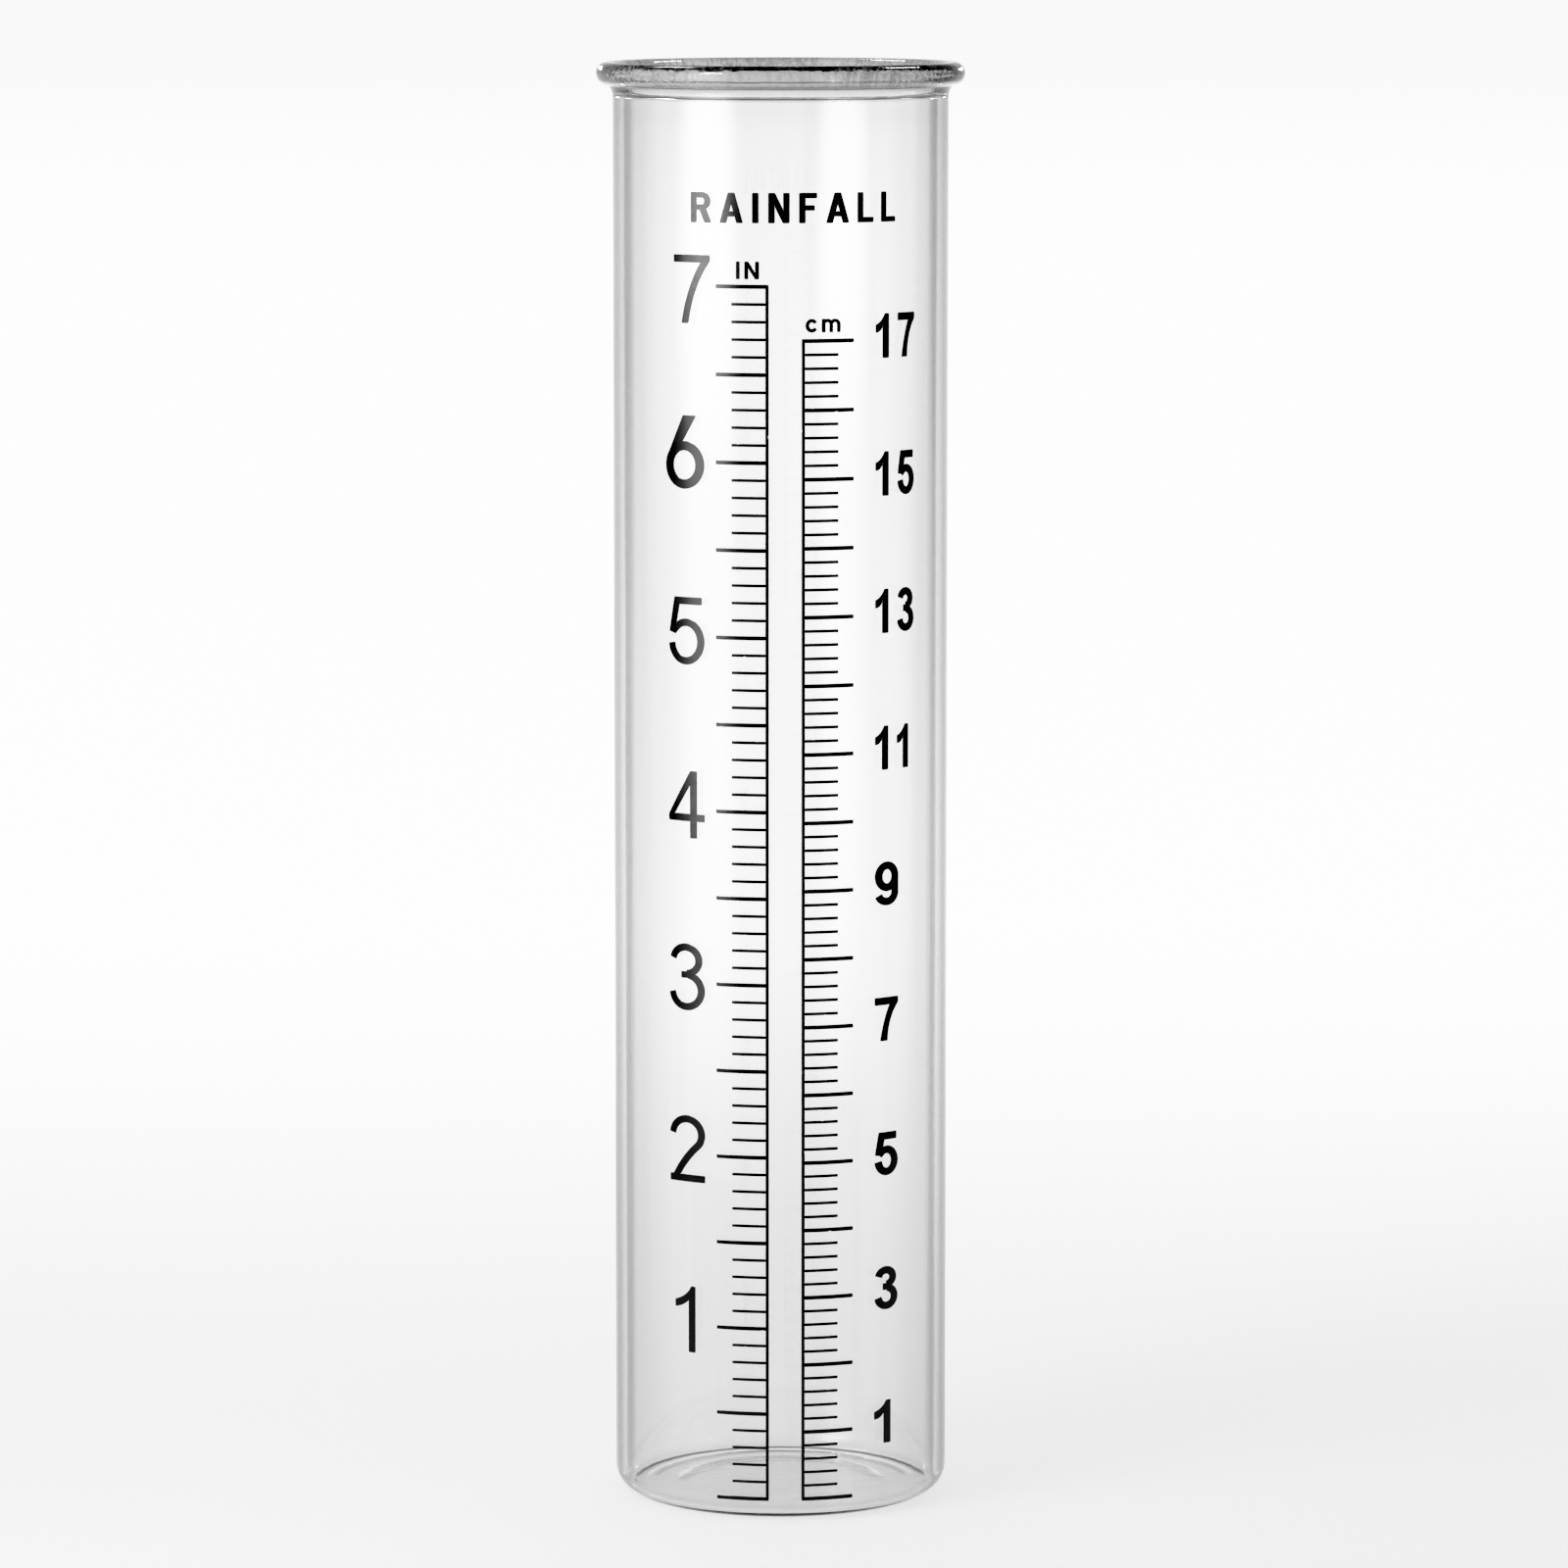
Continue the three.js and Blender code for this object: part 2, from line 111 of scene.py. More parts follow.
INK_SUNK = 0.01 * MM  # how far the enamel reaches into the glass that it is fused to
INK_PROUD = 0.045 * MM
INK_SHOULDER = 0.035 * MM  # width of the sloping edge of each mark
INK_SLOPE = 0.02 * MM  # and its height
INK_SPREAD = 0.07 * MM  # how far the ink ran past the edges of its stencil
BEND_STEP = 0.45 * MM  # longest flat across a mark, so that it bends with the glass
RAGGED_STEP = 0.22 * MM  # spacing of the points along a mark's outline
RAGGED = 0.01 * MM  # how far the outline wanders
NICK_ABOVE = 0.6  # how high the noise has to be to become a nick
NICK_DEPTH = 0.5 * MM
WAVER_SCALE = 2300  # features of the noise to the metre
NICK_SCALE = 1100
NICK_LAYER = 7  # keeps the nicks' noise apart from the waver's
EDGE_CREASE = 12  # degrees between faces that meet at an edge and aren't shaded as one

WELD = 0.5e-6  # corners of a CAD mark that are closer than this are one
FACING_OUT = 0.9  # how squarely a face of a CAD mark looks outwards when it is part of its outer skin
OUTER_SKIN = 0.08 * MM  # and how far above the glass it is at least
IN_LINE = 1.2  # a turn of fewer degrees than this is no turn
SHORTEST = 2e-6
SHARPEST = 34  # a turn of more degrees than this is a corner
CURVE_STEP = 0.1 * MM
CURVE_LONGEST = 1.6 * MM  # a side that is longer than this stays straight
EXACT = 1e-8  # tolerance of the cuts and the triangulation

ENAMEL_DARK = (0.0006, 0.0006, 0.0007)
ENAMEL_PALE = (0.003, 0.003, 0.0032)
ENAMEL_SMOOTH = 0.08
ENAMEL_ROUGH = 0.24
ENAMEL_RELIEF = 0.004 * MM
ENAMEL_PATCHES = (420, 4)
ENAMEL_GLOSS = (700, 3)
ENAMEL_PITS = (3800, 3)

# ---- The studio ----

CAMERA_TURN = 1.534  # degrees from straight in front of the print
CAMERA_AWAY = 1060 * MM
CAMERA_HEIGHT = 240 * MM
CAMERA_LENS = 165.3
AIM = Vector((0.5, 0, 106.1)) * MM

WHITE_POINT = 1.2  # the light that shows as full white
RESPONSE = [(0.07, 0.003), (0.18, 0.14), (0.5, 0.5), (0.84, 0.835), (1.0, 0.955)]  # light, and how it shows

FLOOR_RADIUS = 14
FLOOR_SEGMENTS = 96
FLOOR_GAP = 0.02 * MM
# The floor's white part is a painted pool of light, dimmer at the object and towards the far end, and the
# grey round it is painted shade.
FLOOR_NEAR = 0.76  # shade of the white part of the floor at the object
FLOOR_FAR = 1.0  # and from 0.6 m behind it
FLOOR_FAR_FROM = 0.6
FLOOR_LAST = 0.9  # the share of that which is left towards the floor's far end
FLOOR_LAST_FROM = 3
FLOOR_LAST_TO = 8
FLOOR_GREY_PAINTED_SHADE = 0.5  # shade of the rest
FLOOR_ROUGH = 0.7
FLOOR_SHEEN = 0.1
WEDGE_POINT = 0.8  # how far in front of the object the sides of the white part meet
WEDGE_LEAST = 0.2
WEDGE_INNER = 0.07  # half of its width at 1 metre from there, where it starts to turn grey
WEDGE_OUTER = 1.1  # and where it is all grey
FRONT_GREY = -0.24  # in front of the object the white part starts here
FRONT_WHITE = -0.045  # and is full here
FLOOR_GLOW = 0.96  # share of its shade that the floor gives off as painted light of its own
GLOW_FOR_COLOUR = 0.6  # how much of its reflectance it gives up for that
UNDER_PAINTED_SHADOW = 0.95  # the share of the floor's shade left under the object, a painted shadow
UNDER_FROM = 0.8 * BODY_RADIUS
UNDER_TO = 1.15 * BODY_RADIUS
RINGS_FROM = -2 * MM  # the rings below are only behind the axis, and fade in from here
RINGS_TO = 5 * MM
RINGS_OFF = 2 * MM  # more than any half width
RINGS = [  # where the base gathers or scatters the light that passes it: radius, half width and share
    (22.4 * MM, 1.4 * MM, 0.05),
    (20.4 * MM, 0.7 * MM, 1.5),
    (19.0 * MM, 0.8 * MM, 0.4),
    (15.4 * MM, 0.9 * MM, 1.7),
]

SKY_LOW = 0.15  # low and in front
SKY_HIGH = 0.85  # high and behind
SKY_LEAN = 0.6  # the sky brightens this much as fast backwards as it does upwards
SKY_FROM = -0.45
SKY_TO = 0.55
SKY_OVERHEAD = 0.26  # the share of that which is left straight above
CEILING_FROM = 0.08  # between these heights on the unit sphere
CEILING_TO = 0.55

BOX_AWAY = 0.3
BOX_HEIGHT = 0.5
BOX_COLUMNS = 24
BOX_FROM = 25  # degrees to the left of straight in front
BOX_TO = 80
BOX_NEAR_FADE = 22  # degrees that its light takes to come up at one edge
BOX_FAR_FADE = 26  # and to go down at the other
BOX_LOW = 1.9  # its light below the first of these heights
BOX_HIGH = 3.5  # and above the second
BOX_RISES = (0.12, 0.17)
BOX_FOOT = 0.2  # the share of its light at the floor
BOX_FOOT_TOP = 0.07  # and the height where that ends

LAMP_AIM = Vector((0, 0, 0.1))
LAMP_GLOW = 12
LAMPS = [  # place, width and height
    (Vector((-0.3, 0.68, 1.0)), 0.2, 0.2),
    (Vector((0.42, 0.5, 0.9)), 0.16, 0.2),
    (Vector((-0.55, -0.45, 0.75)), 0.2, 0.2),
    (Vector((-0.5, 1.5, 0.44)), 0.3, 0.1),
    (Vector((0.55, 1.4, 0.4)), 0.22, 0.1),
]


def new_object(name, data):
    piece = bpy.data.objects.new(name, data)
    bpy.context.scene.collection.objects.link(piece)
    return piece


def object_of(bm, name, mesh_name=None):
    """An object with the faces of a bmesh, which is freed."""
    mesh = bpy.data.meshes.new(mesh_name or name)
    bm.to_mesh(mesh)
    bm.free()
    return new_object(name, mesh)


# ---- Glass tube ----


def arc(x, y, radius, start, end, steps):
    """Points on an arc about (x, y), from one angle to another in degrees."""
    angles = [math.radians(start + (end - start) * i / steps) for i in range(steps + 1)]
    return [Vector((x + radius * math.cos(a), y + radius * math.sin(a))) for a in angles]


def straight(x, start, end, steps):
    """Points between two heights on an upright line, without its ends."""
    return [Vector((x, start + (end - start) * i / steps)) for i in range(1, steps)]


def straight_in(start, height, steps):
    """Evenly spaced points from a radius in to the axis, without the first."""
    return [Vector((start * (1 - i / steps), height)) for i in range(1, steps + 1)]


def swell(place):
    """How far the tube's floor stands up: low arcs round its back half, where the blown glass gathered."""
    radius = math.hypot(place.x, place.y)
    height = 0
    for middle, half_width, rise in SWELLS:
        share = min(1, abs(radius - middle) / half_width)
        height += rise * (1 + math.cos(math.pi * share)) / 2
    return height * min(1, max(0, 2 * place.y / max(radius, MM)))


def glass_section():
    """The tube's section: up the outside from the middle of the foot, over the rim, and down the inside."""
    inner = BODY_RADIUS - WALL
    bead = Vector((RIM_RADIUS - BEAD_RADIUS, HEIGHT - BEAD_RADIUS))

    lean = math.radians(NECK_LEAN)
    turn = math.radians(-BEAD_START)
    throat_top = bead.y - BEAD_RADIUS * math.sin(turn) - THROAT_DROP
    neck_top = throat_top - THROAT_RADIUS * (math.sin(turn) - math.sin(lean))
    neck_foot = neck_top - NECK_RADIUS * math.sin(lean)
    neck_out = BODY_RADIUS + NECK_RADIUS * (1 - math.cos(lean))

    flare = math.radians(MOUTH_LEAN)
    flare_top = bead + BEAD_RADIUS * Vector((-math.cos(flare), math.sin(flare)))
    flare_radius = (flare_top.x - inner) / (1 - math.cos(flare))
    flare_foot = flare_top.y - flare_radius * math.sin(flare)

    throat_x = neck_out + THROAT_RADIUS * math.cos(lean)
    throat_y = neck_top - THROAT_RADIUS * math.sin(lean)
    return [
        *[Vector((BODY_RADIUS * share, 0)) for share in FOOT_SHARES],
        *arc(BODY_RADIUS - FOOT_ROUND, FOOT_ROUND, FOOT_ROUND, -90, 0, FOOT_STEPS),
        *straight(BODY_RADIUS, FOOT_ROUND, neck_foot, WALL_RINGS),
        *arc(BODY_RADIUS + NECK_RADIUS, neck_foot, NECK_RADIUS, 180, 180 - NECK_LEAN, NECK_STEPS),
        *arc(throat_x, throat_y, THROAT_RADIUS, 180 - NECK_LEAN, 180 + BEAD_START, THROAT_STEPS)[1:],
        *arc(bead.x, bead.y, BEAD_RADIUS, BEAD_START, 180 - MOUTH_LEAN, BEAD_STEPS),
        *arc(inner + flare_radius, flare_foot, flare_radius, 180 - MOUTH_LEAN, 180, MOUTH_STEPS)[1:],
        *straight(inner, flare_foot, BASE + FLOOR_ROUND, WALL_RINGS),
        *arc(inner - FLOOR_ROUND, BASE + FLOOR_ROUND, FLOOR_ROUND, 0, -90, CORNER_STEPS),
        *straight_in(inner - FLOOR_ROUND, BASE, FLOOR_RINGS),
    ]


def make_glass():
    """The section turned round the axis, with the swells of its floor."""
    bm = bmesh.new()
    rings = []
    for point in glass_section():
        if point.x < AT_AXIS:
            rings.append([bm.verts.new((0, 0, point.y))])
            continue
        ring = []
        for i in range(SEGMENTS):
            angle = math.tau * i / SEGMENTS
            ring.append(bm.verts.new((point.x * math.sin(angle), -point.x * math.cos(angle), point.y)))
        rings.append(ring)
    for lower, upper in zip(rings, rings[1:]):
        for i in range(SEGMENTS):
            corners = [
                lower[i % len(lower)],
                lower[(i + 1) % len(lower)],
                upper[(i + 1) % len(upper)],
                upper[i % len(upper)],
            ]
            bm.faces.new(list(dict.fromkeys(corners)))
    for vertex in bm.verts:
        if abs(vertex.co.z - BASE) < ON_FLOOR:
            vertex.co.z += swell(vertex.co)
    made = object_of(bm, "glass")
    made.data.shade_smooth()
    return made


# ---- Enamel print ----


def outline_loops(node):
    """A CAD mark's outer outline, unrolled to (arc length, height), as closed loops."""
    bm = bmesh.new()
    bm.from_mesh(node.data)
    bmesh.ops.remove_doubles(bm, verts=bm.verts, dist=WELD)
    outward = set()
    for face in bm.faces:
        middle = face.calc_center_median()
        radial = Vector((middle.x, middle.y, 0))
        if face.normal.dot(radial.normalized()) > FACING_OUT and radial.length > BODY_RADIUS + OUTER_SKIN:
            outward.add(face)
    following = {}
    for face in outward:
        for loop in face.loops:
            across = [other for other in loop.edge.link_faces if other is not face]
            if not any(other in outward for other in across):
                following[loop.vert] = loop.link_loop_next.vert
    loops = []
    while following:
        vert = next(iter(following))
        points = []
        while vert in following:
            points.append(Vector((math.atan2(vert.co.x, -vert.co.y) * BODY_RADIUS, vert.co.z)))
            vert = following.pop(vert)
        loops.append(points)
    bm.free()
    return [simplified(points) for points in loops]


def turn_at(points, i):
    """The angle that a closed loop turns through at a point, in degrees."""
    into = points[i] - points[i - 1]
    out = points[(i + 1) % len(points)] - points[i]
    return abs(math.degrees(into.angle_signed(out)))


def simplified(points):
    """The loop without the points that lie in line with their neighbours."""
    kept = list(points)
    i = 0
    while i < len(kept):
        if turn_at(kept, i) < IN_LINE or (kept[i] - kept[i - 1]).length < SHORTEST:
            kept.pop(i)
        else:
            i += 1
    return kept


def smoothed(points):
    """The loop with its gentle turns made into curves, and its corners kept."""
    count = len(points)
    corner = [turn_at(points, i) > SHARPEST for i in range(count)]
    result = []
    for i in range(count):
        before, here, there, beyond = (points[(i + k) % count] for k in (-1, 0, 1, 2))
        chord = there - here
        result.append(here)
        if corner[i] and corner[(i + 1) % count] or chord.length > CURVE_LONGEST:
            continue
        leave = chord if corner[i] else (there - before).normalized() * chord.length
        arrive = chord if corner[(i + 1) % count] else (beyond - here).normalized() * chord.length
        pieces = max(1, math.ceil(chord.length / CURVE_STEP))
        for k in range(1, pieces):
            t = k / pieces
            result.append(
                here * (2 * t**3 - 3 * t**2 + 1)
                + leave * (t**3 - 2 * t**2 + t)
                + there * (3 * t**2 - 2 * t**3)
                + arrive * (t**3 - t**2)
            )
    return result


def ragged(points):
    """The loop in short steps, spread outwards, with the waver and the few nicks of a screen print."""
    stepped = []
    for here, there in zip(points, points[1:] + points[:1]):
        pieces = max(1, math.ceil((there - here).length / RAGGED_STEP))
        stepped += [here.lerp(there, i / pieces) for i in range(pieces)]
    result = []
    for i, point in enumerate(stepped):
        along = (stepped[(i + 1) % len(stepped)] - stepped[i - 1]).normalized()
        inward = Vector((-along.y, along.x))
        waver = noise.noise(Vector((point.x, 0, point.y)) * WAVER_SCALE)
        nick = max(0, noise.noise(Vector((point.x, NICK_LAYER, point.y)) * NICK_SCALE) - NICK_ABOVE)
        result.append(point + inward * (RAGGED * waver + NICK_DEPTH * nick - INK_SPREAD))
    return result


def filled(loops):
    """A flat mesh of the area inside the loops, with its holes left open, facing +Z."""
    points = []
    edges = []
    for loop in loops:
        first = len(points)
        points += loop
        edges += [(first + i, first + (i + 1) % len(loop)) for i in range(len(loop))]
    whole_hull = 0
    made = delaunay_2d_cdt(points, edges, [], whole_hull, EXACT)
    points, edges, triangles = made[:3]
    borders = {frozenset(edge) for edge, given in zip(edges, made[4]) if given}
    beside = {}
    for i, triangle in enumerate(triangles):
        for pair in zip(triangle, triangle[1:] + triangle[:1]):
            beside.setdefault(frozenset(pair), []).append(i)
    inside = {}
    reached = []
    for pair, users in beside.items():
        if len(users) == 1 and users[0] not in inside:
            inside[users[0]] = pair in borders
            reached.append(users[0])
    while reached:
        i = reached.pop()
        triangle = triangles[i]
        for pair in map(frozenset, zip(triangle, triangle[1:] + triangle[:1])):
            for other in beside[pair]:
                if other not in inside:
                    inside[other] = inside[i] != (pair in borders)
                    reached.append(other)
    bm = bmesh.new()
    verts = [bm.verts.new((p.x, p.y, 0)) for p in points]
    for i, triangle in enumerate(triangles):
        if inside[i]:
            bm.faces.new([verts[k] for k in triangle])
    bmesh.ops.delete(bm, geom=[v for v in verts if not v.link_faces], context="VERTS")
    if bm.faces[:][0].normal.z < 0:
        bmesh.ops.reverse_faces(bm, faces=bm.faces[:])
    return bm


def cut_for_bending(bm):
    """Cuts a flat mesh into upright strips that are narrow enough to bend round the glass."""
    start = min(v.co.x for v in bm.verts)
    end = max(v.co.x for v in bm.verts)
    strips = math.ceil((end - start) / BEND_STEP)
    for i in range(1, strips):
        everything = bm.verts[:] + bm.edges[:] + bm.faces[:]
        place = (start + (end - start) * i / strips, 0, 0)
        bmesh.ops.bisect_plane(bm, geom=everything, plane_co=place, plane_no=(1, 0, 0), dist=EXACT)


def make_mark(node_name):
    """A mark's own layer of enamel: its outline, upright then sloping at the edge, bent round the glass."""
    outlines = outline_loops(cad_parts[node_name])
    bm = filled([ragged(smoothed(points)) for points in outlines])
    cut_for_bending(bm)
    made = bmesh.ops.extrude_face_region(bm, geom=bm.faces[:], use_keep_orig=True)["geom"]
    top = [f for f in made if isinstance(f, bmesh.types.BMFace)]
    for vert in {v for face in top for v in face.verts}:
        vert.co.z = INK_SUNK + INK_PROUD - INK_SLOPE
    even = False  # an even shoulder grows spikes at the sharpest corners
    bmesh.ops.inset_region(bm, faces=top, thickness=INK_SHOULDER, depth=INK_SLOPE, use_even_offset=even)
    for vert in bm.verts:
        angle = vert.co.x / BODY_RADIUS
        radius = BODY_RADIUS - INK_SUNK + vert.co.z
        vert.co = Vector((radius * math.sin(angle), -radius * math.cos(angle), vert.co.y))
    bmesh.ops.recalc_face_normals(bm, faces=bm.faces)
    for face in bm.faces:
        face.smooth = True
    for edge in bm.edges:
        edge.smooth = edge.calc_face_angle(0) < math.radians(EDGE_CREASE)
    return object_of(bm, "enamel_" + node_name, node_name)


# ---- Materials ----


class Nodes:
    """A node tree, with short ways to add to it."""

    def __init__(self, tree):
        self.nodes = tree.nodes
        self.links = tree.links

    def link(self, source, target):
        self.links.new(source, target)

    def mapped(self, source, from_low, from_high, to_low, to_high):
        node = self.nodes.new("ShaderNodeMapRange")
        node.interpolation_type = "SMOOTHSTEP"
        values = {"From Min": from_low, "From Max": from_high, "To Min": to_low, "To Max": to_high}
        for name, value in values.items():
            node.inputs[name].default_value = value
        self.link(source, node.inputs["Value"])
        return node.outputs["Result"]

    def math(self, operation, first, second=0):
        node = self.nodes.new("ShaderNodeMath")
        node.operation = operation
        for socket, value in zip(node.inputs, (first, second)):
            if isinstance(value, (int, float)):
                socket.default_value = value
            else:
                self.link(value, socket)
        return node.outputs["Value"]

    def parts(self, vector):
        """The X, Y and Z of a vector, by name."""
        node = self.nodes.new("ShaderNodeSeparateXYZ")
        self.link(vector, node.inputs["Vector"])
        return node.outputs


class Material(Nodes):
    """A material. All of its patterns are set in the object's own frame."""

    def __init__(self, name):
        self.material = bpy.data.materials.new(name)
        self.material.use_nodes = True
        super().__init__(self.material.node_tree)
        self.surface = self.nodes["Principled BSDF"]
        self.output = self.nodes["Material Output"]
        self.place = self.nodes.new("ShaderNodeTexCoord").outputs["Object"]

    def noise(self, scale, detail, stretch=(1, 1, 1)):
        """Noise with a feature size of about 1 / scale metres, squeezed by stretch along each axis."""
        mapping = self.nodes.new("ShaderNodeMapping")
        mapping.inputs["Scale"].default_value = stretch
        self.link(self.place, mapping.inputs["Vector"])
        node = self.nodes.new("ShaderNodeTexNoise")
        node.inputs["Scale"].default_value = scale
        node.inputs["Detail"].default_value = detail
        self.link(mapping.outputs["Vector"], node.inputs["Vector"])
        return node.outputs["Fac"]

    def mixed(self, share, first, second):
        node = self.nodes.new("ShaderNodeMix")
        node.data_type = "RGBA"
        self.link(share, node.inputs["Factor"])
        node.inputs["A"].default_value = (*first, 1)
        node.inputs["B"].default_value = (*second, 1)
        return node.outputs["Result"]

    def bump(self, height, distance):
        node = self.nodes.new("ShaderNodeBump")
        node.inputs["Distance"].default_value = distance
        node.inputs["Strength"].default_value = 1
        self.link(height, node.inputs["Height"])
        self.link(node.outputs["Normal"], self.surface.inputs["Normal"])


def glass_material():
    """Clear borosilicate glass, drawn into a tube, worked by flame at the rim and scuffed on the bead."""
    m = Material("glass")
    surface = m.surface
    surface.inputs["IOR"].default_value = GLASS_IOR
    height = m.parts(m.place)["Z"]
    drawn = m.noise(*DRAWN)

    # Painted shade in the tint: darker where the glass turns away and darkest at its outer edges, except
    # where it lies flat
    facing = m.nodes.new("ShaderNodeLayerWeight").outputs["Facing"]
    turned = m.mapped(facing, 0.2, 0.7, 1, GLASS_TURNED_PAINTED_SHADE)
    edge = m.mapped(facing, 0.62, 0.8, 1, GLASS_EDGE_PAINTED_SHADE)
    normal = m.nodes.new("ShaderNodeNewGeometry").outputs["Normal"]
    lying = m.mapped(m.math("ABSOLUTE", m.parts(normal)["Z"]), 0.5, 0.9, 0, 1)
    tint_with_painted_shade = m.math("MAXIMUM", m.math("MULTIPLY", turned, edge), lying)
    tint_with_painted_shade = m.math("MULTIPLY", tint_with_painted_shade, m.mapped(drawn, 0.3, 0.7, 0.97, 1))
    # Painted shade: the glass is darker towards the foot
    tint_with_painted_shade = m.math("MULTIPLY", tint_with_painted_shade, m.mapped(height, 0, FOOT_PAINTED_SHADE_TOP, FOOT_PAINTED_SHADE, 1))
    # Painted shade: the bead's glass is darker
    tint_with_painted_shade = m.math("MULTIPLY", tint_with_painted_shade, m.mapped(height, HEIGHT - 3.6 * MM, HEIGHT - 2 * MM, 1, BEAD_PAINTED_SHADE))
    m.link(tint_with_painted_shade, surface.inputs["Base Color"])

    m.link(m.mapped(m.noise(*HANDLED), 0.5, 0.8, 0, HANDLED_ROUGH), surface.inputs["Roughness"])

    worked = m.mapped(height, HEIGHT - 5 * MM, HEIGHT - 2 * MM, 0, 1)
    speckle = m.math("MULTIPLY", m.noise(*SPECKLE), m.math("MULTIPLY", worked, SPECKLE_RELIEF))
    ripple = m.math("MULTIPLY", m.noise(*RIPPLE), m.math("MULTIPLY", worked, RIPPLE_RELIEF))
    m.bump(m.math("ADD", m.math("ADD", drawn, speckle), ripple), GLASS_RELIEF)

    on_bead = m.mapped(height, HEIGHT - 3.4 * MM, HEIGHT - 2.4 * MM, 0, 1)
    patches = m.mapped(m.noise(*SCUFF_PATCHES), 0.4, 0.56, SCUFFS_BETWEEN, 1)
    scuffed = m.mapped(m.noise(*SCUFFS), 0.42, 0.62, SCUFFED_LEAST, SCUFFED_MOST)
    scuffed = m.math("MULTIPLY", scuffed, m.math("MULTIPLY", on_bead, patches))
    m.link(m.math("SUBTRACT", 1, scuffed), surface.inputs["Transmission Weight"])

    absorb = m.nodes.new("ShaderNodeVolumeAbsorption")
    absorb.inputs["Color"].default_value = GLASS_COLOUR
    absorb.inputs["Density"].default_value = GLASS_DENSITY
    m.link(absorb.outputs["Volume"], m.output.inputs["Volume"])
    return m.material


def enamel_material():
    """Black enamel, screen printed and fired: glossy, a little uneven, with dust-fine pits."""
    m = Material("enamel")
    inputs = m.surface.inputs
    inputs["Specular IOR Level"].default_value = 1
    patches = m.mapped(m.noise(*ENAMEL_PATCHES), 0.35, 0.7, 0, 1)
    m.link(m.mixed(patches, ENAMEL_DARK, ENAMEL_PALE), inputs["Base Color"])
    gloss = m.mapped(m.noise(*ENAMEL_GLOSS), 0.3, 0.75, ENAMEL_SMOOTH, ENAMEL_ROUGH)
    m.link(gloss, inputs["Roughness"])
    m.bump(m.noise(*ENAMEL_PITS), ENAMEL_RELIEF)
    return m.material


def floor_material():
    """A pale studio floor that glows, with a painted pool of light: white behind the object, and painted
    shade that turns it greyer to the sides and in front.
    """
    m = Material("floor")
    parts = m.parts(m.place)
    behind = parts["Y"]
    from_point = m.math("MAXIMUM", m.math("ADD", behind, WEDGE_POINT), WEDGE_LEAST)
    aside = m.math("DIVIDE", m.math("ABSOLUTE", parts["X"]), from_point)
    inside = m.mapped(aside, WEDGE_INNER, WEDGE_OUTER, 1, 0)
    inside = m.math("MULTIPLY", inside, m.mapped(behind, FRONT_GREY, FRONT_WHITE, 0, 1))
    white = m.mapped(behind, 0, FLOOR_FAR_FROM, FLOOR_NEAR, FLOOR_FAR)
    white = m.math("MULTIPLY", white, m.mapped(behind, FLOOR_LAST_FROM, FLOOR_LAST_TO, 1, FLOOR_LAST))
    lift = m.math("MULTIPLY", inside, m.math("SUBTRACT", white, FLOOR_GREY_PAINTED_SHADE))
    shade = m.math("ADD", lift, FLOOR_GREY_PAINTED_SHADE)

    length = m.nodes.new("ShaderNodeVectorMath")
    length.operation = "LENGTH"
    m.link(m.place, length.inputs[0])
    radius = length.outputs["Value"]
    # Painted shadow under the object
    shade = m.math("MULTIPLY", shade, m.mapped(radius, UNDER_FROM, UNDER_TO, UNDER_PAINTED_SHADOW, 1))
    in_front = m.mapped(behind, RINGS_FROM, RINGS_TO, RINGS_OFF, 0)
    for middle, half_width, share in RINGS:
        off_ring = m.math("ABSOLUTE", m.math("SUBTRACT", radius, middle))
        ring = m.mapped(m.math("ADD", off_ring, in_front), 0, half_width, share, 1)
        shade = m.math("MULTIPLY", shade, ring)

    inputs = m.surface.inputs
    m.link(m.math("MULTIPLY", shade, 1 - GLOW_FOR_COLOUR * FLOOR_GLOW), inputs["Base Color"])
    m.link(shade, inputs["Emission Color"])
    inputs["Emission Strength"].default_value = FLOOR_GLOW
    inputs["Roughness"].default_value = FLOOR_ROUGH
    inputs["Specular IOR Level"].default_value = FLOOR_SHEEN
    return m.material


# ---- Studio ----


def make_floor():
    bm = bmesh.new()
    bmesh.ops.create_circle(bm, cap_ends=True, segments=FLOOR_SEGMENTS, radius=FLOOR_RADIUS)
    floor = object_of(bm, "floor")
    floor.location.z = -FLOOR_GAP
    floor.data.materials.append(floor_material())


def glowing(m):
    """Makes a material a light that what is behind it shows through, and returns its emission node."""
    m.nodes.remove(m.surface)
    glow = m.nodes.new("ShaderNodeEmission")
    both = m.nodes.new("ShaderNodeAddShader")
    m.link(glow.outputs["Emission"], both.inputs[0])
    m.link(m.nodes.new("ShaderNodeBsdfTransparent").outputs["BSDF"], both.inputs[1])
    m.link(both.outputs["Shader"], m.output.inputs["Surface"])
    return glow


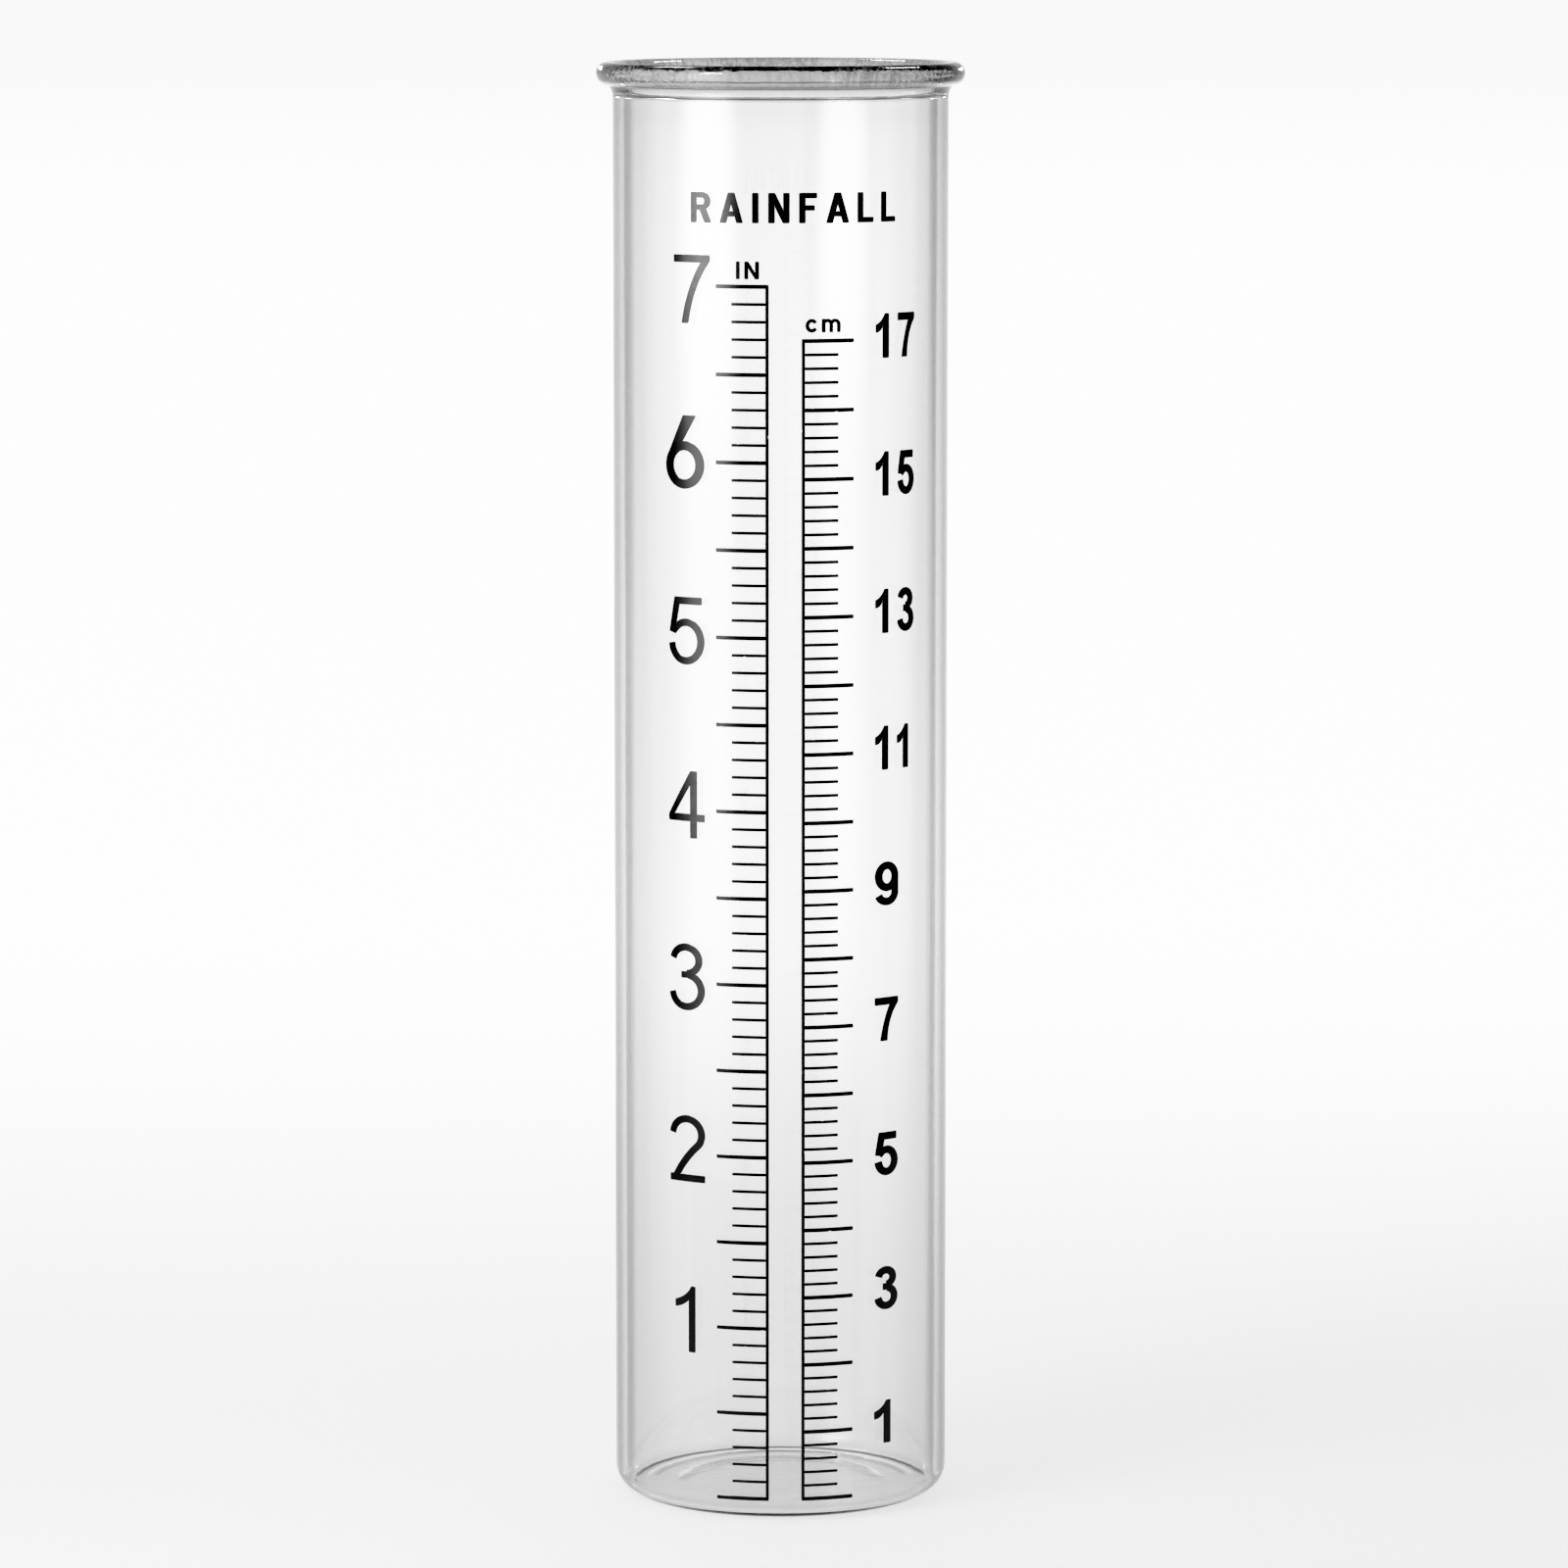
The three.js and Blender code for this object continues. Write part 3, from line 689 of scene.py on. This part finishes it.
def make_softbox():
    """A tall soft light close by on the left, curved round the object, brighter towards its top."""
    bm = bmesh.new()
    lower = []
    upper = []
    for i in range(BOX_COLUMNS + 1):
        angle = math.radians(BOX_FROM + (BOX_TO - BOX_FROM) * i / BOX_COLUMNS)
        x, y = -BOX_AWAY * math.sin(angle), -BOX_AWAY * math.cos(angle)
        lower.append(bm.verts.new((x, y, 0)))
        upper.append(bm.verts.new((x, y, BOX_HEIGHT)))
    for i in range(BOX_COLUMNS):
        bm.faces.new((lower[i], lower[i + 1], upper[i + 1], upper[i]))
    box = object_of(bm, "softbox")
    box.visible_camera = False

    m = Material("softbox")
    parts = m.parts(m.place)
    tangent = m.math("DIVIDE", parts["X"], parts["Y"])
    angle = m.math("MULTIPLY", m.math("ARCTANGENT", tangent), math.degrees(1))
    near_edge = m.mapped(angle, BOX_FROM, BOX_FROM + BOX_NEAR_FADE, 0, 1)
    far_edge = m.mapped(angle, BOX_TO - BOX_FAR_FADE, BOX_TO, 1, 0)
    light = m.mapped(parts["Z"], *BOX_RISES, BOX_LOW, BOX_HIGH)
    light = m.math("MULTIPLY", light, m.mapped(parts["Z"], 0, BOX_FOOT_TOP, BOX_FOOT, 1))
    light = m.math("MULTIPLY", light, m.math("MULTIPLY", near_edge, far_edge))
    m.link(light, glowing(m).inputs["Strength"])
    box.data.materials.append(m.material)


def make_lamps():
    """Small bright panels above and behind, which show only as highlights in the glass."""
    for i, (place, width, height) in enumerate(LAMPS):
        name = f"lamp_{i + 1}"
        bm = bmesh.new()
        bmesh.ops.create_grid(bm, x_segments=1, y_segments=1, size=0.5)
        bmesh.ops.scale(bm, vec=(width, height, 1), verts=bm.verts)
        lamp = object_of(bm, name)
        lamp.location = place
        lamp.rotation_euler = (LAMP_AIM - place).to_track_quat("-Z", "Y").to_euler()
        lamp.visible_camera = False
        lamp.visible_diffuse = False
        m = Material(name)
        glowing(m).inputs["Strength"].default_value = LAMP_GLOW
        lamp.data.materials.append(m.material)


def make_world():
    """Soft light from all round: bright behind, dimmer overhead, dark in front and low."""
    world = bpy.data.worlds.new("studio")
    bpy.context.scene.world = world
    world.use_nodes = True
    w = Nodes(world.node_tree)
    parts = w.parts(w.nodes.new("ShaderNodeTexCoord").outputs["Generated"])
    leaning = w.math("ADD", w.math("MULTIPLY", parts["Y"], SKY_LEAN), parts["Z"])
    sky = w.mapped(leaning, SKY_FROM, SKY_TO, SKY_LOW, SKY_HIGH)
    ceiling = w.mapped(parts["Z"], CEILING_FROM, CEILING_TO, 1, SKY_OVERHEAD)
    background = w.nodes["Background"].inputs
    background["Color"].default_value = (1, 1, 1, 1)
    w.link(w.math("MULTIPLY", sky, ceiling), background["Strength"])


def make_camera():
    camera = new_object("camera", bpy.data.cameras.new("camera"))
    bpy.context.scene.camera = camera
    camera.data.lens = CAMERA_LENS
    turn = math.radians(CAMERA_TURN)
    camera.location = (-CAMERA_AWAY * math.sin(turn), -CAMERA_AWAY * math.cos(turn), CAMERA_HEIGHT)
    camera.rotation_euler = (AIM - camera.location).to_track_quat("-Z", "Y").to_euler()


def set_response():
    """The camera's response to light: deep blacks, and highlights that roll off gently to white."""
    view = bpy.context.scene.view_settings
    view.view_transform = "Standard"
    view.use_curve_mapping = True
    response = view.curve_mapping
    response.white_level = (WHITE_POINT, WHITE_POINT, WHITE_POINT)
    points = response.curves[3].points
    for light, shown in RESPONSE:
        points.new(light / WHITE_POINT, shown)
    response.update()


# ---- Build ----

make_camera()
make_floor()
make_softbox()
make_lamps()
make_world()
set_response()

glass = make_glass()
glass.data.materials.append(glass_material())
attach(glass, "root")
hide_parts("glass_tube")

enamel = enamel_material()
for node_name in sorted(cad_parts):
    if node_name == "glass_tube":
        continue
    mark = make_mark(node_name)
    mark.data.materials.append(enamel)
    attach(mark, "root")
    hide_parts(node_name)
